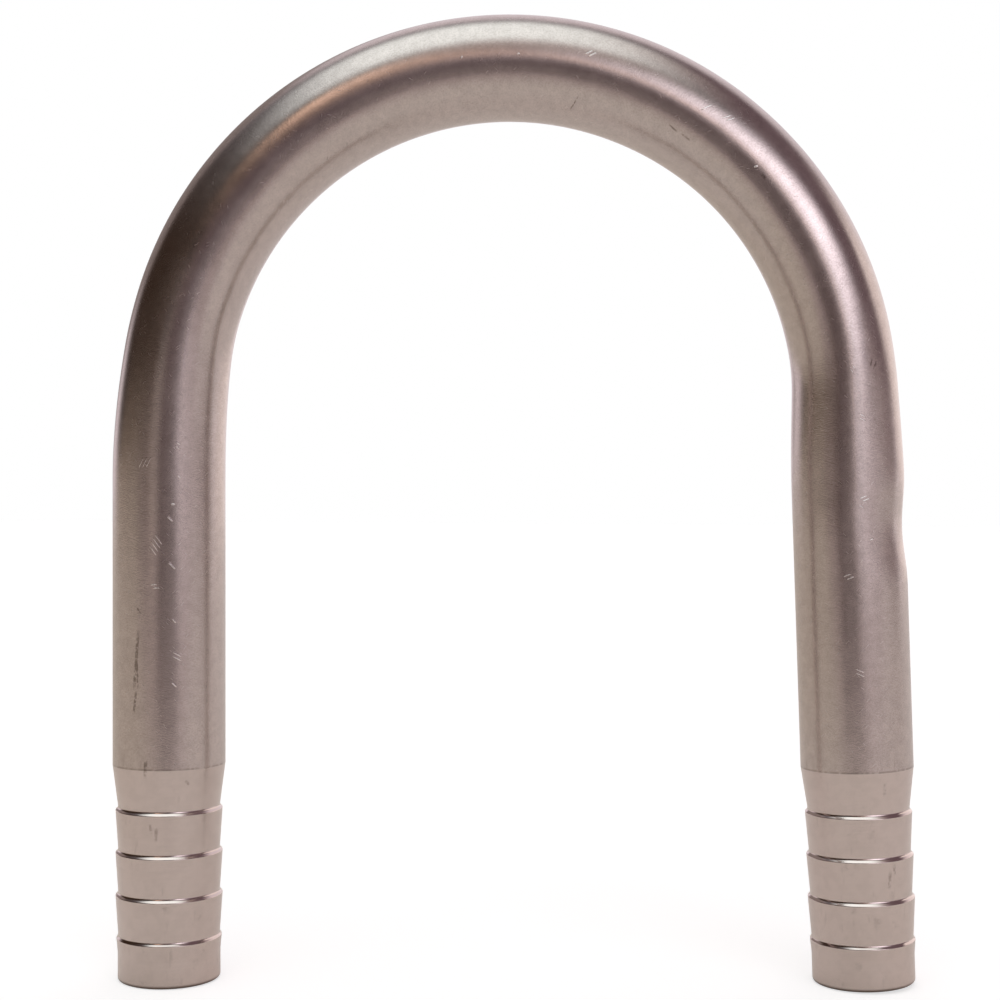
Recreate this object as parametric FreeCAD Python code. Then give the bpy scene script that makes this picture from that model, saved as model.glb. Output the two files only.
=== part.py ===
import FreeCAD, Part
import math
import os

os.makedirs("parts", exist_ok=True)

# One steel tube bent into a U, standing on its two ends
# X runs from the left leg to the right leg, Y is the depth and Z is up, in millimetres

# Tube stock
tube_od = 12.7
tube_wall = 1.65

# Bend, on the centre line, from left to right
run_in_radius = 100.0
run_in_turn = 8.2
bend_radius = 38.3
legs_spread = 1.86

# Legs, from the end of the bend to the cut end, along the centre line
left_leg_length = 56.7
right_leg_length = 67.1

# Flattening that the bender left, across the plane of the U, and the bulge along its depth
bend_flattening = 0.80
late_flattening = 0.24
late_start = 108.0
late_turn = 36.0
bend_bulge = 0.20
left_ramp_length = 20.5
right_ramp_before = 5.5
right_ramp_after = 10.5

# Dent that the bender's clamp left on the outer side of the right leg, just past the flattening
dent_depth = 0.45
dent_length = 12.8
dent_distance = 5.1

# Hose tail that is turned into each end
barb_count = 4
barb_pitch = 4.84
crest_od = 12.06
last_crest_od = 11.86
root_od = 11.44
ledge_run = 0.30
lead_in_length = 5.10
nose_od = 11.56
nose_length = 4.80
nose_taper = 1.60

# Edges of the cut ends
outer_edge_round = 0.35
inner_edge_chamfer = 0.25

# Equal steps between the sections of each lofted stretch
run_in_steps = 6
bend_steps = 16
leg_steps = 7

# Lengths that follow from the sizes above
bore_radius = tube_od / 2 - tube_wall
tail_length = nose_length + (barb_count - 1) * barb_pitch + lead_in_length
bend_turn = 180.0 - legs_spread - run_in_turn
bend_start = left_leg_length + run_in_radius * math.radians(run_in_turn)
bend_end = bend_start + bend_radius * math.radians(bend_turn)
total_length = bend_end + right_leg_length
right_ramp_start = bend_end - right_ramp_before
right_ramp_end = bend_end + right_ramp_after
dent_start = right_ramp_end + dent_distance - dent_length / 2
dent_end = dent_start + dent_length


def direction(heading):
    """Unit vector of a heading, measured from straight up towards the right."""
    return FreeCAD.Vector(math.sin(math.radians(heading)), 0, math.cos(math.radians(heading)))


def arc_step(point, heading, radius, turn):
    """End point of an arc that turns to the right."""
    centre = point + direction(heading + 90) * radius
    return centre - direction(heading + turn + 90) * radius


def centre_line(distance):
    """Point and heading on the centre line, at a distance along it from the left cut end."""
    point = FreeCAD.Vector(0, 0, 0)
    if distance <= left_leg_length:
        return point + direction(0) * distance, 0.0
    point = point + direction(0) * left_leg_length
    if distance <= bend_start:
        turn = math.degrees((distance - left_leg_length) / run_in_radius)
        return arc_step(point, 0.0, run_in_radius, turn), turn
    point = arc_step(point, 0.0, run_in_radius, run_in_turn)
    if distance <= bend_end:
        turn = math.degrees((distance - bend_start) / bend_radius)
        return arc_step(point, run_in_turn, bend_radius, turn), run_in_turn + turn
    point = arc_step(point, run_in_turn, bend_radius, bend_turn)
    heading = run_in_turn + bend_turn
    return point + direction(heading) * (distance - bend_end), heading


def smooth_step(value):
    """Rises from 0 to 1 with no corner at either end."""
    value = min(1.0, max(0.0, value))
    return value * value * (3.0 - 2.0 * value)


def oval_share(distance):
    """How far the bender's flattening has set in, from 0 on the legs to 1 in the bend."""
    rise = smooth_step((distance - left_leg_length) / left_ramp_length)
    fall = smooth_step((distance - right_ramp_start) / (right_ramp_before + right_ramp_after))
    return rise * (1.0 - fall)


def late_share(distance):
    """How far the extra flattening near the right end of the bend has set in."""
    turned = run_in_turn + math.degrees((distance - bend_start) / bend_radius)
    return smooth_step((turned - late_start) / late_turn)


def dent_at(distance):
    """Depth of the clamp's dent at a distance along the centre line."""
    share = (distance - dent_start) / dent_length
    if share <= 0.0 or share >= 1.0:
        return 0.0
    return dent_depth * math.sin(share * math.pi) ** 2


def section(distance, inset):
    """Oval outline of the tube across its centre line, made smaller by inset all round."""
    point, heading = centre_line(distance)
    share = oval_share(distance)
    dent = dent_at(distance)
    flattening = share * (bend_flattening + late_flattening * late_share(distance))
    across = (tube_od - flattening - dent) / 2 - inset
    deep = (tube_od + share * bend_bulge) / 2 - inset
    inward = direction(heading + 90)
    along = direction(heading)
    centre = point + inward * (dent / 2)
    place = FreeCAD.Matrix(
        inward.x * across, 0, along.x, centre.x,
        0, deep, 0, centre.y,
        inward.z * across, 0, along.z, centre.z,
        0, 0, 0, 1)
    circle = Part.Wire(Part.Circle().toShape())
    return Part.Wire(circle.transformGeometry(place).Edges)


def lofted_faces(start, end, steps, inset):
    """Faces of one stretch of the bent tube, lofted through its oval sections."""
    distances = [start + (end - start) * index / steps for index in range(steps + 1)]
    return Part.makeLoft([section(distance, inset) for distance in distances], False, False).Faces


def bent_faces(inset):
    """The run-in, the bend and the start of the right leg, where the flattening ends and the dent is."""
    faces = lofted_faces(left_leg_length, bend_start, run_in_steps, inset)
    faces += lofted_faces(bend_start, bend_end, bend_steps, inset)
    faces += lofted_faces(bend_end, right_ramp_end, leg_steps, inset)
    return faces + lofted_faces(right_ramp_end, dent_end, leg_steps, inset)


def turned_faces(length, at_distance, outward_sign):
    """Faces of a turned leg, inside and out, revolved about the leg's own axis."""
    point, heading = centre_line(at_distance)
    wall = Part.Wire(leg_outline(length)).revolve(FreeCAD.Vector(0, 0, 0), FreeCAD.Vector(0, 0, 1), 360)
    into_leg = direction(heading) * outward_sign
    turn = FreeCAD.Rotation(direction(heading + 90), FreeCAD.Vector(0, 0, 0), into_leg, "ZXY")
    wall.Placement = FreeCAD.Placement(point, turn)
    return wall.Faces


def straight_edges(points):
    """Edges through points of radius and height, in the plane that is revolved."""
    corners = [FreeCAD.Vector(radius, 0, height) for radius, height in points]
    return [Part.LineSegment(a, b).toShape() for a, b in zip(corners, corners[1:])]


def leg_outline(length):
    """Section of a leg's wall: bore with its chamfer, rounded nose, barbs, lead-in taper and plain tube."""
    nose_radius = nose_od / 2
    edge_flat = nose_radius - outer_edge_round
    slant = outer_edge_round * math.sqrt(0.5)
    mouth = [(bore_radius, length), (bore_radius, inner_edge_chamfer),
             (bore_radius + inner_edge_chamfer, 0), (edge_flat, 0)]
    corner = Part.Arc(
        FreeCAD.Vector(edge_flat, 0, 0),
        FreeCAD.Vector(edge_flat + slant, 0, outer_edge_round - slant),
        FreeCAD.Vector(nose_radius, 0, outer_edge_round)).toShape()
    points = [(nose_radius, outer_edge_round), (nose_radius, nose_length - nose_taper)]
    for index in range(barb_count):
        crest = nose_length + index * barb_pitch
        crest_radius = (last_crest_od if index == 0 else crest_od) / 2
        points.append((crest_radius, crest))
        points.append((root_od / 2, crest + ledge_run))
    points.append((tube_od / 2, tail_length))
    points.append((tube_od / 2, length))
    return straight_edges(mouth) + [corner] + straight_edges(points)


def whole_tube():
    """The bent tube with both turned ends and the bore that runs all the way through."""
    faces = bent_faces(0) + bent_faces(tube_wall)
    faces += turned_faces(left_leg_length, 0, 1)
    faces += turned_faces(total_length - dent_end, total_length, -1)
    skin = Part.makeCompound(faces)
    skin.sewShape()
    solid = Part.Solid(skin.Shells[0])
    if solid.Volume < 0:
        solid.reverse()
    return solid


def lowest_point(distance, outward_sign, tilt):
    """Lowest point of a cut end's rounded edge, with the U tilted in its own plane."""
    point, heading = centre_line(distance)
    out = direction(heading + tilt) * outward_sign
    place = FreeCAD.Rotation(FreeCAD.Vector(0, 1, 0), tilt).multVec(point)
    side = FreeCAD.Vector(math.copysign(out.z, out.x), 0, -abs(out.x))
    centre = place - out * outer_edge_round + side * (nose_od / 2 - outer_edge_round)
    return centre - FreeCAD.Vector(0, 0, outer_edge_round)


def standing_tilt():
    """Tilt in the plane of the U that brings both cut ends down to the same level."""
    tilt = 0.0
    for _ in range(12):
        left = lowest_point(0, -1, tilt)
        right = lowest_point(total_length, 1, tilt)
        tilt += math.degrees(math.atan2(right.z - left.z, right.x - left.x))
    return tilt


def stood_up(shape):
    """Stands the tube on its ends, with the origin under the middle of its outer box."""
    shape = shape.copy()
    shape.rotate(FreeCAD.Vector(0, 0, 0), FreeCAD.Vector(0, 1, 0), standing_tilt())
    box = shape.optimalBoundingBox(False, False)
    middle = FreeCAD.Vector((box.XMin + box.XMax) / 2, (box.YMin + box.YMax) / 2, box.ZMin)
    shape.translate(middle.negative())
    return shape


u_bend_tube = stood_up(whole_tube())
u_bend_tube.exportStep("parts/u_bend_tube.step")

box = u_bend_tube.optimalBoundingBox(False, False)
print("solids", len(u_bend_tube.Solids), "valid", u_bend_tube.isValid(), "closed", u_bend_tube.isClosed())
print("size", round(box.XLength, 3), round(box.YLength, 3), round(box.ZLength, 3))
print("volume", round(u_bend_tube.Volume, 2), "tilt", round(standing_tilt(), 3))
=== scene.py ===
import math
import bpy
from mathutils import Matrix, Vector


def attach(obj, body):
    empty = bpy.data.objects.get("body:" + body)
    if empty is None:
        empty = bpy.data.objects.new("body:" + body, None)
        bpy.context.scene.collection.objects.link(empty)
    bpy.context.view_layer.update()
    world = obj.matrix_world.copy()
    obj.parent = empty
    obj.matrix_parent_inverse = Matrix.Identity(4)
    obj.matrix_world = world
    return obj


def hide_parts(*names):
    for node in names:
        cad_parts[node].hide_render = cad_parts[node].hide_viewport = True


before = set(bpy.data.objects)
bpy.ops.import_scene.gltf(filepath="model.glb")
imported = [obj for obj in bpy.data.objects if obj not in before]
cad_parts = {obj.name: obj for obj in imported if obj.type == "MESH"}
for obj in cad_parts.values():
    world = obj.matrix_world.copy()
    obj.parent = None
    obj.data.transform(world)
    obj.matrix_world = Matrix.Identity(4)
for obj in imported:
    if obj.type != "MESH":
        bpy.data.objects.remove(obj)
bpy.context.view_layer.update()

# Sizes of the tube in millimetres, as in the part's source
MM = 0.001
TUBE_OD = 12.7
TUBE_WALL = 1.65
RUN_IN_RADIUS = 100.0
RUN_IN_TURN = 8.2
BEND_RADIUS = 38.3
LEGS_SPREAD = 1.86
LEFT_LEG_LENGTH = 56.7
RIGHT_LEG_LENGTH = 67.1
BEND_FLATTENING = 0.80
LATE_FLATTENING = 0.24
LATE_START = 108.0
LATE_TURN = 36.0
BEND_BULGE = 0.20
LEFT_RAMP_LENGTH = 20.5
RIGHT_RAMP_BEFORE = 5.5
RIGHT_RAMP_AFTER = 10.5
DENT_DEPTH = 0.45
DENT_LENGTH = 12.8
DENT_DISTANCE = 5.1
BARB_COUNT = 4
BARB_PITCH = 4.84
CREST_OD = 12.06
LAST_CREST_OD = 11.86
ROOT_OD = 11.44
LEDGE_RUN = 0.30
LEAD_IN_LENGTH = 5.10
NOSE_OD = 11.56
NOSE_LENGTH = 4.80
NOSE_TAPER = 1.60
OUTER_EDGE_ROUND = 0.35
INNER_EDGE_CHAMFER = 0.25

# Fine form that only the mesh has
NOSE_ROUND = 0.30
CREST_ROUND = 0.12
ROOT_ROUND = 0.40
TAPER_END_DROP = 0.004

# Rings and rows of the mesh
SUPPORT = 0.03
ROUND_STEPS = 6
AROUND = 112
ROW_SPACING = 0.8
BORE_SPACING = 2.4
DISC_POINTS = 96

# How the parts of the skin are told apart: the slope of a ledge, and margins for the bore and for rounding
LEDGE_SLOPE = 0.25
BORE_MARGIN = 0.01
ROUNDING = 1e-6

# Millimetres of skin to one unit of its unrolled map
SKIN_UNIT = 100.0

# Rounds in which the tilt of the standing tube is found
TILT_ROUNDS = 12

# Lengths that follow from the sizes above
BORE_RADIUS = TUBE_OD / 2 - TUBE_WALL
TAIL_LENGTH = NOSE_LENGTH + (BARB_COUNT - 1) * BARB_PITCH + LEAD_IN_LENGTH
BEND_TURN = 180.0 - LEGS_SPREAD - RUN_IN_TURN
BEND_START = LEFT_LEG_LENGTH + RUN_IN_RADIUS * math.radians(RUN_IN_TURN)
BEND_END = BEND_START + BEND_RADIUS * math.radians(BEND_TURN)
TOTAL_LENGTH = BEND_END + RIGHT_LEG_LENGTH
DENT_START = BEND_END + RIGHT_RAMP_AFTER + DENT_DISTANCE - DENT_LENGTH / 2

# Camera, in millimetres: its distance from the plane of the U, its place beside and above the origin, the
# width of its sensor and the nearest that it sees. Its focal length and its image are in pixels
CAMERA_DISTANCE = 205.8
CAMERA_X = -1.76
CAMERA_HEIGHT = 54.75
SENSOR_WIDTH = 36.0
NEAREST_SEEN = 10.0
FOCAL_PIXELS = 1800.0
IMAGE_PIXELS = 1000.0

# Metal, in linear light
STEEL = (0.55, 0.476, 0.444)
TURNED_STEEL = (0.58, 0.495, 0.46)
# Lighter colour painted into the nicks, a painted highlight
NICK_PAINTED_GLINT = (0.86, 0.82, 0.80)
# Dark colour for dirt, and for the painted shade at the cut ends
STEEL_DIRT_AND_SHADE = (0.16, 0.12, 0.10)

# How bright the mottle's dark places are beside its bright ones, and the share of painted glint in a nick
MOTTLE_SHADE = 0.90
NICK_GLINT_SHARE = 0.80

# How rough each metal is, from its smooth places to its rough ones, and what mottle and hairs add
DRAWN_ROUGHNESS = (0.215, 0.255)
TURNED_ROUGHNESS = (0.20, 0.26)
LEDGE_ROUGHNESS = (0.10, 0.16)
ADDED_ROUGHNESS = {"mottle": 0.02, "hair": 0.05}

# Random patterns in the steel: cells a millimetre across and along the tube, detail and roughness of the
# noise, and the values between which the pattern comes in
PATTERNS = {
    "clouds": (0.16, 0.16, 3.0, 0.50, 0.30, 0.70),
    "mottle": (0.90, 0.90, 3.0, 0.60, 0.32, 0.68),
    "grain": (5.00, 5.00, 2.0, 0.60, 0.58, 0.36),
    "stain": (0.22, 0.22, 5.0, 0.70, 0.62, 0.80),
    "speck": (1.70, 1.70, 1.0, 0.50, 0.76, 0.84),
    "cut_line": (1.40, 0.25, 2.0, 0.50, 0.35, 0.55),
    "smudge": (1.40, 0.25, 2.0, 0.50, 0.52, 0.72),
    "dirt_gaps": (3.00, 3.00, 2.0, 0.50, 0.30, 0.58),
    "cuts": (0.25, 9.00, 2.0, 0.50, 0.30, 0.70),
    "turned_mottle": (0.80, 0.80, 3.0, 0.60, 0.60, 0.35),
    "turned_stain": (0.45, 0.45, 4.0, 0.65, 0.58, 0.78),
    "turned_streak": (1.50, 0.35, 3.0, 0.50, 0.60, 0.78),
    "ledge": (1.20, 1.20, 3.0, 0.50, 0.30, 0.70),
}

# Distances in millimetres between which dark places fade: the line and the smudges on the drawn skin where
# the turned tail begins, and the painted shade on the edge of the cut end, where it stands on the floor
CUT_LINE_REACH = (0.30, 0.12)
SMUDGE_REACH = (3.0, 0.4)
CUT_END_SHADE_REACH = (0.50, 0.16)

# Share of the dark colour in each kind of dark place: dirt, and painted shade at the cut end
DRAWN_DARK = {"grain": 0.15, "stain": 0.22, "speck": 0.35, "cut_line": 0.45, "smudge": 0.25, "dirt": 0.75}
TURNED_DARK = {"stain": 0.30, "streak": 0.20, "mottle": 0.07, "dirt": 0.45, "cut_end": 0.95}

# Height of each kind of mark in millimetres, and how strongly the light shows it
DRAWN_HEIGHT = {"grain": 0.0045, "hair": -0.0025, "brush": 0.004, "nick": -0.05}
TURNED_HEIGHT = {"cuts": 0.002, "mottle": 0.006}
DRAWN_BUMP = 0.7
TURNED_BUMP = 0.6

# Floor and walls of the studio, in linear light
# The floor's colours below are painted light and shade that only the metal sees: dimmer at the left, lighter
# at the right and near the tube, darker in front
FLOOR_PAINTED_DIM_LEFT = (0.87, 0.80, 0.70)
FLOOR_PAINTED_LIGHT_RIGHT = (1.00, 0.94, 0.90)
FLOOR_PAINTED_LIGHT_NEAR = (1.00, 0.95, 0.89)
FLOOR_PAINTED_SHADE_FRONT = (0.63, 0.54, 0.53)
LOW_WALL_LEFT = (1.21, 1.05, 0.85)
LOW_WALL_RIGHT = (1.59, 1.51, 1.60)
ROOM_LEFT = (0.20, 0.19, 0.21)
ROOM_RIGHT = (0.19, 0.13, 0.15)
BACKDROP = (0.98, 0.89, 0.94)
CAMERA_WHITE = (1.0, 1.0, 1.0)

# What the camera sees of the floor: its own white, and what the light and the tube's shadow add
FLOOR_WHITE = 0.65
FLOOR_SHADE = (0.52, 0.50, 0.49, 1.0)

# Where the floor's painted light and shade meet, in metres, and how far the edge of the painted shade in
# front slants towards the camera at the sides
FLOOR_RADIUS = 4.0
FLOOR_SIDES = (-0.16, 0.16)
NEAR_FLOOR_EDGE = (0.03, 0.21)
FRONT_FLOOR_EDGE = (0.06, 0.20)
FRONT_FLOOR_SLANT = 0.5

# Where the walls' colours meet, as parts of a direction of length one
LOW_WALL_SIDES = (-0.8, 0.8)
ROOM_SIDES = (-0.2, 0.6)
HORIZON = (0.024, 0.055)
BACKDROP_EDGE = (0.30, 0.62)

# How far a direction has to turn towards a soft box, out of one, before the box shows
SOFT_BOX_EDGE = (0.02, 0.10)

# Soft boxes and dark cloths, each with its azimuth and angle in degrees, its half width and half height over
# its distance, its roll in degrees, how soft its edge is, and its colour. A later one hides an earlier one.
SOFT_BOXES = {
    "left_spill": (-111, 69, 0.51, 0.82, 11, 0.04, (0.92, 0.76, 0.62)),
    "left_cloth": (-68, 77, 0.49, 1.20, -1, 0.40, (0.05, 0.03, 0.02)),
    "right_cloth": (86, 76, 0.11, 0.59, 14, 0.11, (0.42, 0.34, 0.35)),
    "side_card": (86, 143, 0.25, 1.13, 29, 0.20, (1.28, 1.15, 1.12)),
    "backdrop_shade": (-50, 140, 0.28, 0.42, 0, 0.08, (0.32, 0.27, 0.26)),
    "camera_cloth": (2, 31, 0.51, 0.55, 6, 0.03, (0.00, 0.00, 0.00)),
    "middle": (8, 60, 0.26, 0.82, 14, 0.22, (0.71, 0.63, 0.61)),
    "warm_box": (-17, 24, 0.37, 0.035, 60, 0.12, (3.90, 2.72, 2.02)),
    "key_box": (50, 30, 0.04, 0.36, 11, 0.36, (5.90, 5.68, 6.28)),
    "top_box": (-7, 78, 0.47, 0.52, -1, 0.24, (1.61, 1.79, 1.81)),
}

# Dark cloths round the camera that only the metal sees: place beside and above the camera, half width, half
# height, all in metres, the share that fades at the edge, and the colour. The first hangs a little behind the
# camera and each next one a step nearer
CAMERA_CLOTHS = {
    "camera_shade": (-0.019, 0.009, 0.068, 0.144, 0.90, (0.04, 0.01, 0.02)),
    "tripod": (-0.002, -0.035, 0.060, 0.060, 0.50, (0.25, 0.21, 0.21)),
}
CLOTH_BEHIND = 0.005
CLOTH_STEP = 0.001

# Ends of the stretches that the skin is divided into, along the tube from the left cut end
STRETCH_ENDS = {
    "left_tail": TAIL_LENGTH,
    "left_leg": BEND_START,
    "left_bend": (BEND_START + BEND_END) / 2,
    "right_bend": BEND_END,
    "right_leg": TOTAL_LENGTH - TAIL_LENGTH,
    "right_tail": TOTAL_LENGTH,
}

# Nicks that tools left in the skin: distance along the tube from the left cut end, angle round from the front
# towards the inside of the U, turn from the tube's own direction, length, width, and how many lie side by
# side. Those lie one spacing apart, each moved along by the stagger
NICKS = (
    (60.4, 18, -50, 0.6, 0.15, 2), (57.1, 20, -45, 0.6, 0.19, 1), (54.0, 14, 85, 0.5, 0.19, 1),
    (52.4, 11, -45, 0.9, 0.19, 1), (47.2, 13, -45, 1.2, 0.22, 1), (41.1, 15, -40, 0.7, 0.17, 1),
    (36.9, 18, -60, 1.2, 0.17, 2), (34.0, 15, -45, 0.8, 0.19, 1), (48.9, -6, -35, 1.5, 0.12, 4),
    (58.6, -19, 25, 1.3, 0.10, 3), (45.1, -5, 85, 0.8, 0.11, 2),
    (120.3, -1, -45, 0.4, 0.19, 1), (126.6, -1, -45, 0.4, 0.19, 1), (134.2, -12, -45, 1.1, 0.19, 2),
    (148.3, -8, -62, 1.6, 0.12, 1), (150.7, -13, -62, 1.4, 0.12, 2), (156.7, 7, -60, 0.5, 0.19, 1),
    (182.1, 1, -30, 0.9, 0.12, 2), (187.5, -6, -60, 1.0, 0.12, 2), (196.9, -8, 70, 1.1, 0.11, 2),
    (197.6, -3, -60, 0.8, 0.11, 1), (201.3, -14, 80, 0.5, 0.15, 1), (205.5, 11, 70, 0.9, 0.11, 2),
    (215.8, 5, -65, 1.1, 0.12, 2))
NICK_SPACING = 0.40
NICK_STAGGER = 0.22

# Lines of dirt in the skin, placed in the same way
DIRT = (
    (17.3, -4, 5, 2.0, 0.55, 1), (17.9, -10, -8, 1.4, 0.45, 1), (23.0, 29, -40, 0.9, 0.45, 1),
    (24.6, -14, 3, 2.6, 0.60, 1), (36.6, -24.5, 5, 8.6, 0.55, 1), (35.2, -23, -2, 4.4, 0.34, 1),
    (32.0, -26, 8, 3.4, 0.45, 1), (42.3, -22, -35, 1.3, 0.28, 1),
    (133.8, 45, -72, 2.6, 0.24, 1), (146.3, 30, 10, 1.6, 0.30, 1),
    (148.2, 31, 5, 1.6, 0.30, 1), (158.2, 8, 0, 1.1, 0.50, 1), (181.8, -20, 25, 1.1, 0.28, 1),
    (182.2, -24, 30, 1.3, 0.32, 1), (229.2, -18, 2, 2.0, 0.50, 1), (238.1, -28, -6, 1.6, 0.50, 1),
    (239.3, -22, 4, 2.4, 0.60, 1))

# Share of a placed mark's half size that is at full strength
MARK_CORE = 0.4

# Layers of sparse fine hairs: turn, length, width and the share of cells that have one. A hair fades between
# these distances from the middle of its cell
HAIR_LAYERS = ((45, 1.2, 0.11, 0.016), (-45, 1.0, 0.10, 0.022))
HAIR_EDGE = (0.30, 0.16)

# Layers of fine brush marks that run round the tube: turn, length and width
BRUSH_LAYERS = ((16, 1.3, 0.16), (-12, 0.9, 0.12))


# Centre line and sections

def direction(heading):
    """Unit vector of a heading, measured from straight up towards the right."""
    return Vector((math.sin(math.radians(heading)), 0, math.cos(math.radians(heading))))


def arc_step(point, heading, radius, turn):
    """End point of an arc that turns to the right."""
    centre = point + direction(heading + 90) * radius
    return centre - direction(heading + turn + 90) * radius


def centre_line(distance):
    """Point and heading on the centre line, at a distance along it from the left cut end."""
    point = Vector((0, 0, 0))
    if distance <= LEFT_LEG_LENGTH:
        return point + direction(0) * distance, 0.0
    point = point + direction(0) * LEFT_LEG_LENGTH
    if distance <= BEND_START:
        turn = math.degrees((distance - LEFT_LEG_LENGTH) / RUN_IN_RADIUS)
        return arc_step(point, 0.0, RUN_IN_RADIUS, turn), turn
    point = arc_step(point, 0.0, RUN_IN_RADIUS, RUN_IN_TURN)
    if distance <= BEND_END:
        turn = math.degrees((distance - BEND_START) / BEND_RADIUS)
        return arc_step(point, RUN_IN_TURN, BEND_RADIUS, turn), RUN_IN_TURN + turn
    point = arc_step(point, RUN_IN_TURN, BEND_RADIUS, BEND_TURN)
    heading = RUN_IN_TURN + BEND_TURN
    return point + direction(heading) * (distance - BEND_END), heading


def smooth_step(value):
    """Rises from 0 to 1 with no corner at either end."""
    value = min(1.0, max(0.0, value))
    return value * value * (3.0 - 2.0 * value)


def oval_at(distance):
    """Half width across the bend's plane, half depth, and shift towards the inside of the bend."""
    rise = smooth_step((distance - LEFT_LEG_LENGTH) / LEFT_RAMP_LENGTH)
    ramp = RIGHT_RAMP_BEFORE + RIGHT_RAMP_AFTER
    share = rise * (1.0 - smooth_step((distance - BEND_END + RIGHT_RAMP_BEFORE) / ramp))
    turned = RUN_IN_TURN + math.degrees((distance - BEND_START) / BEND_RADIUS)
    late = smooth_step((turned - LATE_START) / LATE_TURN)
    along_dent = (distance - DENT_START) / DENT_LENGTH
    dent = DENT_DEPTH * math.sin(along_dent * math.pi) ** 2 if 0.0 < along_dent < 1.0 else 0.0
    flattening = share * (BEND_FLATTENING + LATE_FLATTENING * late)
    return (TUBE_OD - flattening - dent) / 2, (TUBE_OD + share * BEND_BULGE) / 2, dent / 2


# Outline of a turned leg, as points of height over the cut end and radius

def rounded(before, corner, after, radius):
    """Points of the arc that rounds a corner, with a support point on each side of it."""
    here = Vector(corner)
    to_before = (Vector(before) - here).normalized()
    to_after = (Vector(after) - here).normalized()
    half = to_before.angle(to_after) / 2
    reach = radius / math.tan(half)
    centre = here + (to_before + to_after).normalized() * (radius / math.sin(half))
    start = here + to_before * reach - centre
    end = here + to_after * reach - centre
    points = [here + to_before * (reach + SUPPORT)]
    for index in range(ROUND_STEPS + 1):
        share = index / ROUND_STEPS
        points.append(centre + start.slerp(end, share).normalized() * radius)
    points.append(here + to_after * (reach + SUPPORT))
    return [(point.x, point.y) for point in points]


def tail_points():
    """Outline of the hose tail from the cut end to the end of the lead-in taper, corners rounded."""
    nose = NOSE_OD / 2
    corners = [(0.0, BORE_RADIUS, 0.0), (0.0, nose, OUTER_EDGE_ROUND),
               (NOSE_LENGTH - NOSE_TAPER, nose, NOSE_ROUND)]
    for index in range(BARB_COUNT):
        crest = NOSE_LENGTH + index * BARB_PITCH
        crest_radius = (LAST_CREST_OD if index == 0 else CREST_OD) / 2
        corners.append((crest, crest_radius, CREST_ROUND))
        corners.append((crest + LEDGE_RUN, ROOT_OD / 2, ROOT_ROUND))
    corners.append((TAIL_LENGTH, TUBE_OD / 2, 0.0))
    points = []
    for before, corner, after in zip(corners, corners[1:], corners[2:]):
        points += rounded(before[:2], corner[:2], after[:2], corner[2])
    return points + [(TAIL_LENGTH - SUPPORT, TUBE_OD / 2 - TAPER_END_DROP), (TAIL_LENGTH, TUBE_OD / 2)]


def steps_between(start, end, spacing):
    """Even steps from start to end, without the start."""
    count = math.ceil((end - start) / spacing)
    return [start + (end - start) * index / count for index in range(1, count + 1)]


def round_ring(distance, radius):
    """A round ring about the centre line, in the form that the oval ones have."""
    return distance, radius, radius, 0.0


def bore_rings():
    """Rings of the bore, from its mouth in the right cut end back to the one in the left."""
    mouth = BORE_RADIUS + INNER_EDGE_CHAMFER
    first = INNER_EDGE_CHAMFER + SUPPORT
    found = [round_ring(TOTAL_LENGTH, mouth + SUPPORT), round_ring(TOTAL_LENGTH, mouth),
             round_ring(TOTAL_LENGTH - INNER_EDGE_CHAMFER, BORE_RADIUS)]
    for step in [first] + steps_between(first, TOTAL_LENGTH - first, BORE_SPACING):
        across, deep, shift = oval_at(TOTAL_LENGTH - step)
        found.append((TOTAL_LENGTH - step, across - TUBE_WALL, deep - TUBE_WALL, shift))
    return found + [round_ring(INNER_EDGE_CHAMFER, BORE_RADIUS), round_ring(0.0, mouth),
                    round_ring(0.0, mouth + SUPPORT)]


def rings():
    """Every ring of the skin in order, as its distance, half width, half depth and shift."""
    tail = tail_points()
    first_plain = TAIL_LENGTH + SUPPORT
    plain = [first_plain] + steps_between(first_plain, TOTAL_LENGTH - first_plain, ROW_SPACING)
    found = [round_ring(height, radius) for height, radius in tail]
    found += [(distance, *oval_at(distance)) for distance in plain]
    found += [round_ring(TOTAL_LENGTH - height, radius) for height, radius in reversed(tail)]
    return found + bore_rings()


def lowest_point(distance, outward_sign, tilt):
    """Lowest point of a cut end's rounded edge, with the U tilted in its own plane."""
    point, heading = centre_line(distance)
    out = direction(heading + tilt) * outward_sign
    place = Matrix.Rotation(math.radians(tilt), 3, "Y") @ point
    side = Vector((math.copysign(out.z, out.x), 0, -abs(out.x)))
    centre = place - out * OUTER_EDGE_ROUND + side * (NOSE_OD / 2 - OUTER_EDGE_ROUND)
    return centre - Vector((0, 0, OUTER_EDGE_ROUND))


def standing_tilt():
    """Tilt in the plane of the U that brings both cut ends down to the same level."""
    tilt = 0.0
    for _ in range(TILT_ROUNDS):
        left = lowest_point(0, -1, tilt)
        right = lowest_point(TOTAL_LENGTH, 1, tilt)
        tilt += math.degrees(math.atan2(right.z - left.z, right.x - left.x))
    return tilt


def on_ledge(below, above):
    """Whether the skin between two rings is the ledge of a barb."""
    from_end = min(below[0], TOTAL_LENGTH - below[0])
    steep = abs(above[1] - below[1]) > LEDGE_SLOPE * abs(above[0] - below[0])
    return steep and NOSE_LENGTH - CREST_ROUND < from_end < TAIL_LENGTH


def part_of_skin(below, above):
    """Name of the part of the skin that lies between two rings."""
    if min(below[1], above[1]) < BORE_RADIUS + BORE_MARGIN:
        return "bore"
    if on_ledge(below, above):
        return "ledges"
    middle = (below[0] + above[0]) / 2
    return next(name for name, end in STRETCH_ENDS.items() if middle < end + ROUNDING)


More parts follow.
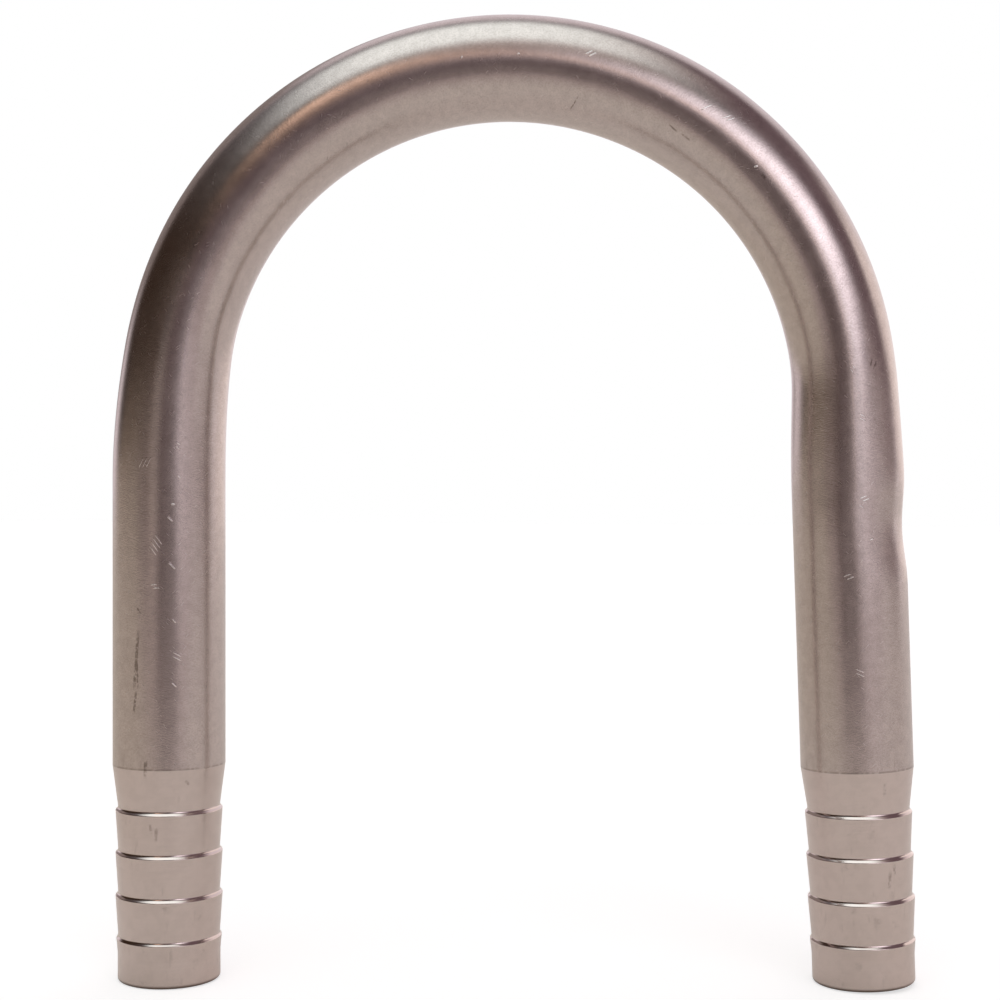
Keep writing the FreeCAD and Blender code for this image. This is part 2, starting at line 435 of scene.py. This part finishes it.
def ring_points(distance, across, deep, shift):
    """Points of one ring round the tube, and the same points with the tube straightened."""
    middle, heading = centre_line(distance)
    inward = direction(heading + 90)
    points, straight = [], []
    for index in range(AROUND):
        side = across * math.sin(2 * math.pi * index / AROUND)
        back = deep * math.cos(2 * math.pi * index / AROUND)
        points.append(middle + inward * (shift - side) + Vector((0, back, 0)))
        straight.append((side, back, distance))
    return points, straight


def dress_faces(mesh, skin):
    """Gives each face its material and its place on the unrolled skin."""
    unrolled = mesh.uv_layers.new(name="UVMap")
    parts = [*STRETCH_ENDS, "bore", "ledges"]
    for polygon in mesh.polygons:
        row, column = divmod(polygon.index, AROUND)
        above = (row + 1) % len(skin)
        polygon.material_index = parts.index(part_of_skin(skin[row], skin[above]))
        polygon.use_smooth = True
        corners = ((row, column), (above, column), (above, column + 1), (row, column + 1))
        for loop, (at_row, at_column) in zip(polygon.loop_indices, corners):
            around = at_column / AROUND * math.pi * TUBE_OD
            unrolled.data[loop].uv = (around / SKIN_UNIT, skin[at_row][0] / SKIN_UNIT)


def tube_mesh():
    """Skin of the tube, outside, ends and bore in one closed surface, in metres and standing."""
    tilt = Matrix.Rotation(math.radians(standing_tilt()), 3, "Y")
    skin = rings()
    points, straight, faces = [], [], []
    for row, ring in enumerate(skin):
        ring_at, ring_straight = ring_points(*ring)
        points += [tilt @ point for point in ring_at]
        straight += ring_straight
        below = row * AROUND
        above = (row + 1) % len(skin) * AROUND
        for index in range(AROUND):
            beside = (index + 1) % AROUND
            faces.append((below + index, above + index, above + beside, below + beside))
    low = Vector([min(point[axis] for point in points) for axis in range(3)])
    high = Vector([max(point[axis] for point in points) for axis in range(3)])
    origin = Vector(((low.x + high.x) / 2, 0, low.z))
    mesh = bpy.data.meshes.new("steel_tube")
    mesh.from_pydata([(point - origin) * MM for point in points], [], faces)
    place = mesh.attributes.new("straight", "FLOAT_VECTOR", "POINT")
    place.data.foreach_set("vector", [value for spot in straight for value in spot])
    dress_faces(mesh, skin)
    mesh.validate()
    return mesh


# Shader nodes

class Nodes:
    """Adds nodes to a tree and links them, so that a shader reads as a short list of steps."""

    def __init__(self, tree):
        self.tree = tree
        tree.nodes.clear()

    def add(self, kind, inputs=None, **settings):
        """A node with its settings, and its inputs by name or number, linked or set."""
        node = self.tree.nodes.new(kind)
        for name, value in settings.items():
            setattr(node, name, value)
        for name, value in (inputs or {}).items():
            if isinstance(value, bpy.types.NodeSocket):
                self.tree.links.new(value, node.inputs[name])
            else:
                node.inputs[name].default_value = value
        return node

    def math(self, operation, first, second=0.0):
        """Result of one sum on two numbers."""
        return self.add("ShaderNodeMath", {0: first, 1: second}, operation=operation).outputs[0]

    def vector(self, operation, first, second=(0, 0, 0)):
        """Result of one sum on two vectors."""
        node = self.add("ShaderNodeVectorMath", {0: first, 1: second}, operation=operation)
        return node.outputs["Value" if operation in ("DOT_PRODUCT", "LENGTH") else "Vector"]

    def ramp(self, value, start, end, low=0.0, high=1.0):
        """Smooth change from low to high while value goes from start to end."""
        node = self.add("ShaderNodeMapRange", {
            "Value": value, "From Min": start, "From Max": end, "To Min": low, "To Max": high},
            interpolation_type="SMOOTHSTEP")
        return node.outputs["Result"]

    def mix(self, share, first, second):
        """Colour between two colours."""
        node = self.add("ShaderNodeMix", data_type="RGBA")
        for socket, value in ((node.inputs[0], share), (node.inputs[6], first), (node.inputs[7], second)):
            if isinstance(value, bpy.types.NodeSocket):
                self.tree.links.new(value, socket)
            else:
                socket.default_value = (*value, 1.0) if isinstance(value, tuple) else value
        return node.outputs[2]

    def noise(self, place, scale, detail=2.0, roughness=0.5):
        """Cloudy noise about 0.5, with scale in cells a unit of place."""
        return self.add("ShaderNodeTexNoise", {
            "Vector": place, "Scale": scale, "Detail": detail, "Roughness": roughness}).outputs["Fac"]


def new_material(name):
    """An empty material and the nodes of its shader."""
    material = bpy.data.materials.new(name)
    material.use_nodes = True
    return material, Nodes(material.node_tree)


# Studio

def soft_box(nodes, towards, azimuth, angle, size, roll, softness):
    """Share of light from a soft rectangle in the studio, seen in a direction of the world.

    Azimuth turns from straight up towards the right and angle opens from the camera's side, in degrees.
    Size is its half width and half height over its distance, and roll turns it in its own plane."""
    a, b, r = math.radians(azimuth), math.radians(angle), math.radians(roll)
    middle = Vector((math.sin(b) * math.sin(a), -math.cos(b), math.sin(b) * math.cos(a)))
    outward = Vector((math.cos(b) * math.sin(a), math.sin(b), math.cos(b) * math.cos(a)))
    across = middle.cross(outward)
    side = across * math.cos(r) + outward * math.sin(r)
    rise = outward * math.cos(r) - across * math.sin(r)
    ahead = nodes.vector("DOT_PRODUCT", towards, middle)
    safe = nodes.math("MAXIMUM", ahead, SOFT_BOX_EDGE[0])
    share = nodes.ramp(ahead, *SOFT_BOX_EDGE)
    for axis, half in ((side, size[0]), (rise, size[1])):
        beside = nodes.vector("DOT_PRODUCT", towards, axis)
        place = nodes.math("ABSOLUTE", nodes.math("DIVIDE", beside, safe))
        share = nodes.math("MULTIPLY", share, nodes.ramp(place, half + softness, half - softness))
    return share


def studio_world():
    """Pale studio: white behind the tube in the picture, soft boxes and a darker room for all else."""
    world = bpy.data.worlds.new("studio")
    world.use_nodes = True
    bpy.context.scene.world = world
    nodes = Nodes(world.node_tree)
    towards = nodes.add("ShaderNodeTexCoord").outputs["Generated"]
    x, y, z = nodes.add("ShaderNodeSeparateXYZ", {0: towards}).outputs
    low_wall = nodes.mix(nodes.ramp(x, *LOW_WALL_SIDES), LOW_WALL_LEFT, LOW_WALL_RIGHT)
    room = nodes.mix(nodes.ramp(x, *ROOM_SIDES), ROOM_LEFT, ROOM_RIGHT)
    colour = nodes.mix(nodes.ramp(z, *HORIZON), low_wall, room)
    colour = nodes.mix(nodes.ramp(y, *BACKDROP_EDGE), colour, BACKDROP)
    for azimuth, angle, half_width, half_height, roll, softness, light in SOFT_BOXES.values():
        share = soft_box(nodes, towards, azimuth, angle, (half_width, half_height), roll, softness)
        colour = nodes.mix(share, colour, light)
    path = nodes.add("ShaderNodeLightPath")
    seen = nodes.mix(path.outputs["Is Camera Ray"], colour, CAMERA_WHITE)
    sky = nodes.add("ShaderNodeBackground", {"Color": seen, "Strength": 1.0})
    nodes.add("ShaderNodeOutputWorld", {"Surface": sky.outputs[0]})


def floor_material():
    """Pale floor that the camera sees as white, with the tube's own soft shadow near its ends. The metal sees
    it with painted light and shade: dimmer left, lighter right and near the tube, darker in front.
    """
    material, nodes = new_material("pale_floor")
    geometry = nodes.add("ShaderNodeNewGeometry")
    place = geometry.outputs["Position"]
    x, y, _ = nodes.add("ShaderNodeSeparateXYZ", {0: place}).outputs
    # Painted light and shade in the floor's colour: lighter to the right and near the tube, darker to the
    # left and in front
    paper_with_painted_light = nodes.mix(nodes.ramp(x, *FLOOR_SIDES), FLOOR_PAINTED_DIM_LEFT, FLOOR_PAINTED_LIGHT_RIGHT)
    paper_with_painted_light = nodes.mix(nodes.ramp(nodes.vector("LENGTH", place), *NEAR_FLOOR_EDGE), FLOOR_PAINTED_LIGHT_NEAR, paper_with_painted_light)
    slant = nodes.math("MULTIPLY", nodes.math("ABSOLUTE", x), -FRONT_FLOOR_SLANT)
    ahead = nodes.math("SUBTRACT", slant, y)
    paper_with_painted_light = nodes.mix(nodes.ramp(ahead, *FRONT_FLOOR_EDGE), paper_with_painted_light, FLOOR_PAINTED_SHADE_FRONT)
    lit = nodes.add("ShaderNodeBsdfDiffuse", {"Color": paper_with_painted_light})
    shaded = nodes.add("ShaderNodeBsdfDiffuse", {"Color": FLOOR_SHADE})
    white = nodes.add("ShaderNodeEmission", {"Color": (*CAMERA_WHITE, 1.0), "Strength": FLOOR_WHITE})
    seen = nodes.add("ShaderNodeAddShader", {0: white.outputs[0], 1: shaded.outputs[0]})
    path = nodes.add("ShaderNodeLightPath")
    plain = nodes.add("ShaderNodeMixShader", {
        0: path.outputs["Is Camera Ray"], 1: lit.outputs[0], 2: seen.outputs[0]})
    clear = nodes.add("ShaderNodeBsdfTransparent")
    from_below = nodes.add("ShaderNodeMixShader", {
        0: geometry.outputs["Backfacing"], 1: plain.outputs[0], 2: clear.outputs[0]})
    nodes.add("ShaderNodeOutputMaterial", {"Surface": from_below.outputs[0]})
    return material


def cloth_material(name, fade, colour):
    """Dark cloth that the metal reflects, with an edge that fades."""
    material, nodes = new_material(name)
    out = nodes.vector("LENGTH", nodes.add("ShaderNodeTexCoord").outputs["Object"])
    dark = nodes.add("ShaderNodeEmission", {"Color": (*colour, 1.0), "Strength": 1.0})
    clear = nodes.add("ShaderNodeBsdfTransparent")
    cloth = nodes.add("ShaderNodeMixShader", {
        0: nodes.ramp(out, 1 - fade, 1 + fade), 1: dark.outputs[0], 2: clear.outputs[0]})
    nodes.add("ShaderNodeOutputMaterial", {"Surface": cloth.outputs[0]})
    return material


# Steel

def skin_places(nodes):
    """Place in the straightened tube and on its unrolled skin, both in millimetres."""
    straight = nodes.add("ShaderNodeAttribute", attribute_name="straight").outputs["Vector"]
    unrolled = nodes.add("ShaderNodeUVMap", uv_map="UVMap").outputs[0]
    return straight, nodes.vector("MULTIPLY", unrolled, (SKIN_UNIT, SKIN_UNIT, 1))


def from_cut_end(nodes, straight):
    """Distance along the tube to the nearest cut end, in millimetres."""
    distance = nodes.add("ShaderNodeSeparateXYZ", {0: straight}).outputs[2]
    return nodes.math("MINIMUM", distance, nodes.math("SUBTRACT", TOTAL_LENGTH, distance))


def pattern(nodes, straight, name):
    """One of the random patterns in the steel, as a value about 0.5."""
    across, along, detail, roughness = PATTERNS[name][:4]
    return nodes.noise(nodes.vector("MULTIPLY", straight, (across, across, along)), 1.0, detail, roughness)


def spread(nodes, value, name, low=0.0, high=1.0):
    """How far a pattern of this value comes in, from low to high."""
    return nodes.ramp(value, *PATTERNS[name][4:], low, high)


def patches(nodes, straight, name, low=0.0, high=1.0):
    """How far one of the random patterns comes in at each place, from low to high."""
    return spread(nodes, pattern(nodes, straight, name), name, low, high)


def turned_map(nodes, unrolled, turn):
    """The unrolled skin, turned in its own plane."""
    return nodes.add("ShaderNodeMapping", {
        "Vector": unrolled, "Rotation": (0, 0, math.radians(turn))}, vector_type="POINT").outputs[0]


def hairs(nodes, unrolled, turn, length, width, kept):
    """Share of short fine scratches on the unrolled skin, one for some of the cells of a random pattern."""
    stretched = nodes.vector("MULTIPLY", turned_map(nodes, unrolled, turn), (1 / width, 1 / length, 0))
    cells = nodes.add("ShaderNodeTexVoronoi", {"Vector": stretched, "Scale": 1.0}, voronoi_dimensions="2D")
    drawn = nodes.ramp(cells.outputs["Distance"], *HAIR_EDGE)
    lot = nodes.add("ShaderNodeSeparateColor", {0: cells.outputs["Color"]}).outputs[0]
    return nodes.math("MULTIPLY", drawn, nodes.math("LESS_THAN", lot, kept))


def brushed(nodes, unrolled, turn, length, width):
    """Fine marks on the unrolled skin that run round the tube, as a height about 0.5."""
    stretched = nodes.vector("MULTIPLY", turned_map(nodes, unrolled, turn), (1 / length, 1 / width, 0))
    return nodes.noise(stretched, 1.0, 1.0)


def unrolled_spot(distance, angle):
    """Place on the unrolled skin, in millimetres, of an angle round from the front towards the inside."""
    return Vector(((0.5 + angle / 360.0) * math.pi * TUBE_OD, distance, 0))


def mark_axes(turn):
    """Directions on the unrolled skin along a mark and across it."""
    along = Vector((math.sin(math.radians(turn)), math.cos(math.radians(turn)), 0))
    return along, Vector((along.y, -along.x, 0))


def stroke(nodes, unrolled, spot, turn, length, width):
    """Share of one short straight mark on the unrolled skin."""
    place = nodes.vector("SUBTRACT", unrolled, spot)
    shares = []
    for axis, half in zip(mark_axes(turn), (length / 2, width / 2)):
        reach = nodes.math("ABSOLUTE", nodes.vector("DOT_PRODUCT", place, axis))
        shares.append(nodes.ramp(reach, half, MARK_CORE * half))
    return nodes.math("MULTIPLY", *shares)


def strokes(nodes, unrolled, marks):
    """Share of all the marks of a table, which is nothing where the table is empty."""
    share = 0.0
    for distance, angle, turn, length, width, count in marks:
        along, across = mark_axes(turn)
        step = across * NICK_SPACING + along * NICK_STAGGER
        for index in range(count):
            spot = unrolled_spot(distance, angle) + step * index
            share = nodes.math("MAXIMUM", share, stroke(nodes, unrolled, spot, turn, length, width))
    return share


def dirt_lines(nodes, unrolled, straight, dirt):
    """Share of dirt in the lines that are listed, broken up a little."""
    gaps = patches(nodes, straight, "dirt_gaps")
    return nodes.math("MULTIPLY", strokes(nodes, unrolled, dirt), gaps)


def highest(nodes, shares):
    """The largest of several shares."""
    top = shares[0]
    for share in shares[1:]:
        top = nodes.math("MAXIMUM", top, share)
    return top


def strongest(nodes, strengths, shares):
    """The largest of several shares, each times the strength of the same name."""
    return highest(nodes, [
        nodes.math("MULTIPLY", shares[name], strength) for name, strength in strengths.items()])


def total(nodes, start, weights, values):
    """A start with several values added, each times the weight of the same name."""
    for name, weight in weights.items():
        start = nodes.math("ADD", start, nodes.math("MULTIPLY", values[name], weight))
    return start


def bare_metal(nodes, colour, rough, height=0.0, strength=0.0):
    """Ends a shader as metal, with a height in millimetres that the light shows."""
    bump = nodes.add("ShaderNodeBump", {"Height": height, "Strength": strength, "Distance": MM})
    steel = nodes.add("ShaderNodeBsdfPrincipled", {
        "Base Color": colour, "Metallic": 1.0, "Roughness": rough, "Normal": bump.outputs[0]})
    nodes.add("ShaderNodeOutputMaterial", {"Surface": steel.outputs[0]})


def drawn_dark(nodes, straight, unrolled, grain, dirt):
    """Share of dirt colour in the drawn skin, with a line and smudges where the turned tail begins."""
    past_tail = nodes.math("SUBTRACT", from_cut_end(nodes, straight), TAIL_LENGTH)
    by_tail = {
        name: nodes.math("MULTIPLY", nodes.ramp(past_tail, *reach), patches(nodes, straight, name))
        for name, reach in (("cut_line", CUT_LINE_REACH), ("smudge", SMUDGE_REACH))}
    return strongest(nodes, DRAWN_DARK, {
        "grain": spread(nodes, grain, "grain"),
        "stain": patches(nodes, straight, "stain"),
        "speck": patches(nodes, straight, "speck"),
        "dirt": dirt_lines(nodes, unrolled, straight, dirt),
        **by_tail})


def drawn_steel(name, nicks, dirt):
    """Satin skin of the drawn and bent tube, with its fine grain, hairs, nicks with a painted glint, and
    dirt.
    """
    material, nodes = new_material(name)
    straight, unrolled = skin_places(nodes)
    marks = {
        "mottle": pattern(nodes, straight, "mottle"),
        "grain": pattern(nodes, straight, "grain"),
        "hair": highest(nodes, [hairs(nodes, unrolled, *layer) for layer in HAIR_LAYERS]),
        "brush": nodes.math("ADD", *[brushed(nodes, unrolled, *layer) for layer in BRUSH_LAYERS]),
        "nick": strokes(nodes, unrolled, nicks)}
    shaded = tuple(MOTTLE_SHADE * value for value in STEEL)
    colour = nodes.mix(spread(nodes, marks["mottle"], "mottle"), shaded, STEEL)
    colour = nodes.mix(drawn_dark(nodes, straight, unrolled, marks["grain"], dirt), colour, STEEL_DIRT_AND_SHADE)
    # Painted highlight: the nicks are painted lighter, as glints
    colour = nodes.mix(nodes.math("MULTIPLY", marks["nick"], NICK_GLINT_SHARE), colour, NICK_PAINTED_GLINT)
    rough = total(nodes, patches(nodes, straight, "clouds", *DRAWN_ROUGHNESS), ADDED_ROUGHNESS, marks)
    bare_metal(nodes, colour, rough, total(nodes, 0.0, DRAWN_HEIGHT, marks), DRAWN_BUMP)
    return material


def turned_steel(name, dirt):
    """Brighter skin of the turned tails, with the cutter's fine rings, small stains and painted shade along
    the cut edge where it stands on the floor.
    """
    material, nodes = new_material(name)
    straight, unrolled = skin_places(nodes)
    marks = {
        "cuts": pattern(nodes, straight, "cuts"),
        "mottle": pattern(nodes, straight, "turned_mottle")}
    dark = strongest(nodes, TURNED_DARK, {
        "stain": patches(nodes, straight, "turned_stain"),
        "streak": patches(nodes, straight, "turned_streak"),
        "mottle": spread(nodes, marks["mottle"], "turned_mottle"),
        "dirt": dirt_lines(nodes, unrolled, straight, dirt),
        # Painted shade: the edge of each cut end is darkened where it stands on the floor
        "cut_end": nodes.ramp(from_cut_end(nodes, straight), *CUT_END_SHADE_REACH)})
    rough = spread(nodes, marks["cuts"], "cuts", *TURNED_ROUGHNESS)
    height = total(nodes, 0.0, TURNED_HEIGHT, marks)
    bare_metal(nodes, nodes.mix(dark, TURNED_STEEL, STEEL_DIRT_AND_SHADE), rough, height, TURNED_BUMP)
    return material


def ledge_steel():
    """Clean shiny cut of the ledges."""
    material, nodes = new_material("ledge_steel")
    straight, _ = skin_places(nodes)
    rough = patches(nodes, straight, "ledge", *LEDGE_ROUGHNESS)
    bare_metal(nodes, (*TURNED_STEEL, 1.0), rough)
    return material


def marks_between(marks, start, end):
    """The marks of a table that reach into one stretch of the tube."""
    return [mark for mark in marks if start - mark[3] < mark[0] < end + mark[3]]


def stretch_steel(name, start, end):
    """Steel of one stretch of the skin, with only the marks that lie in it."""
    dirt = marks_between(DIRT, start, end)
    if "tail" in name:
        return turned_steel(name + "_steel", dirt)
    return drawn_steel(name + "_steel", marks_between(NICKS, start, end), dirt)


# The object

def add_object(name, mesh):
    """Puts a mesh into the scene."""
    piece = bpy.data.objects.new(name, mesh)
    bpy.context.scene.collection.objects.link(piece)
    return piece


def add_tube():
    """The dressed tube, which stands for the plain solid."""
    mesh = tube_mesh()
    start = 0.0
    for name, end in STRETCH_ENDS.items():
        mesh.materials.append(stretch_steel(name, start, end))
        start = end
    mesh.materials.append(drawn_steel("bore_steel", (), ()))
    mesh.materials.append(ledge_steel())
    piece = add_object("steel_tube", mesh)
    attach(piece, "root")
    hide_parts("u_bend_tube")


def disc_mesh(name, radius):
    """Flat disc that faces up."""
    mesh = bpy.data.meshes.new(name)
    turns = [2 * math.pi * index / DISC_POINTS for index in range(DISC_POINTS)]
    rim = [(radius * math.cos(turn), radius * math.sin(turn), 0) for turn in turns]
    mesh.from_pydata(rim, [], [tuple(range(DISC_POINTS))])
    return mesh


def add_cloth(name, beside, above, half_width, half_height, fade, colour, behind):
    """One dark cloth in the plane of the camera, a little behind it."""
    mesh = disc_mesh(name, 1 + fade)
    mesh.materials.append(cloth_material(name, fade, colour))
    cloth = add_object(name, mesh)
    cloth.location = (CAMERA_X * MM + beside, -CAMERA_DISTANCE * MM - behind, CAMERA_HEIGHT * MM + above)
    cloth.rotation_euler = (math.radians(90), 0, 0)
    cloth.scale = (half_width, half_height, 1)
    cloth.visible_camera = False
    cloth.visible_diffuse = False
    cloth.visible_shadow = False
    return cloth


def add_stage():
    """Floor, and the dark cloths round the camera that only the metal sees."""
    floor_mesh = disc_mesh("floor", FLOOR_RADIUS)
    floor_mesh.materials.append(floor_material())
    pieces = [add_object("floor", floor_mesh)]
    for index, (name, cloth) in enumerate(CAMERA_CLOTHS.items()):
        pieces.append(add_cloth(name, *cloth, CLOTH_BEHIND - CLOTH_STEP * index))


def add_camera():
    """Camera level and straight at the U, turned so that the left leg stands upright in the picture."""
    roll = math.radians(-standing_tilt())
    data = bpy.data.cameras.new("camera")
    data.sensor_width = SENSOR_WIDTH
    data.lens = FOCAL_PIXELS / IMAGE_PIXELS * SENSOR_WIDTH
    data.clip_start = NEAREST_SEEN * MM
    camera = bpy.data.objects.new("camera", data)
    bpy.context.scene.collection.objects.link(camera)
    right = Vector((math.cos(roll), 0, math.sin(roll)))
    up = Vector((-math.sin(roll), 0, math.cos(roll)))
    turn = Matrix((right, up, (0, -1, 0))).transposed().to_4x4()
    camera.matrix_world = Matrix.Translation((
        CAMERA_X * MM, -CAMERA_DISTANCE * MM, CAMERA_HEIGHT * MM)) @ turn
    bpy.context.scene.camera = camera


add_tube()
add_stage()
studio_world()
add_camera()
bpy.context.scene.view_settings.view_transform = "Standard"
